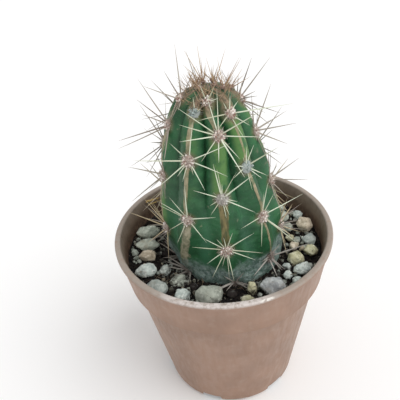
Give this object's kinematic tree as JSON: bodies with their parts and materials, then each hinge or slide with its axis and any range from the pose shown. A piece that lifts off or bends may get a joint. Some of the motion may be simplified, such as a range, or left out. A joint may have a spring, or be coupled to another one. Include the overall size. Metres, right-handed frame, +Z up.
{
  "type": "potted hedgehog cactus",
  "caption": "Small ribbed hedgehog cactus with pale spreading spines, standing in soil and pale gravel in a round tapered nursery pot.",
  "frame": {"origin": "centre of the pot's flat underside", "axes": "+Z up along the pot's axis, -Y towards the side seen in the picture, +X to its right"},
  "size_m": [0.055, 0.055, 0.0945],
  "materials": {
    "pot": "satin brown moulded plastic",
    "soil": "dark crumbly peat",
    "cactus": "green waxy skin with pale spines",
    "stone_white": "matt",
    "stone_grey": "matt",
    "stone_buff": "matt",
    "stone_yellow": "matt",
    "stone_violet": "matt"
  },
  "bodies": {
    "root": {"pot": "pot", "soil": "soil", "cactus": "cactus", "stone_01": "stone_grey", "stone_02": "stone_grey", "stone_03": "stone_buff", "stone_04": "stone_white", "stone_05": "stone_white", "stone_06": "stone_white", "stone_07": "stone_white", "stone_08": "stone_grey", "stone_09": "stone_yellow", "stone_10": "stone_yellow", "stone_11": "stone_violet", "stone_12": "stone_white", "stone_13": "stone_white", "stone_14": "stone_white", "stone_15": "stone_yellow", "stone_16": "stone_yellow", "stone_17": "stone_white", "stone_18": "stone_white", "stone_19": "stone_buff", "stone_20": "stone_white", "stone_21": "stone_grey", "stone_22": "stone_yellow", "stone_23": "stone_grey", "stone_24": "stone_buff", "stone_25": "stone_grey", "stone_26": "stone_violet", "stone_27": "stone_grey", "stone_28": "stone_yellow", "stone_29": "stone_white", "stone_30": "stone_grey", "stone_31": "stone_grey", "stone_32": "stone_white", "stone_33": "stone_grey", "stone_34": "stone_buff", "stone_35": "stone_grey", "stone_36": "stone_buff", "stone_37": "stone_yellow", "stone_38": "stone_white", "stone_39": "stone_grey", "stone_40": "stone_white", "stone_41": "stone_buff", "stone_42": "stone_yellow", "stone_43": "stone_white", "stone_44": "stone_violet", "stone_45": "stone_white", "stone_46": "stone_violet", "stone_47": "stone_yellow", "stone_48": "stone_grey"}
  },
  "joints": []
}
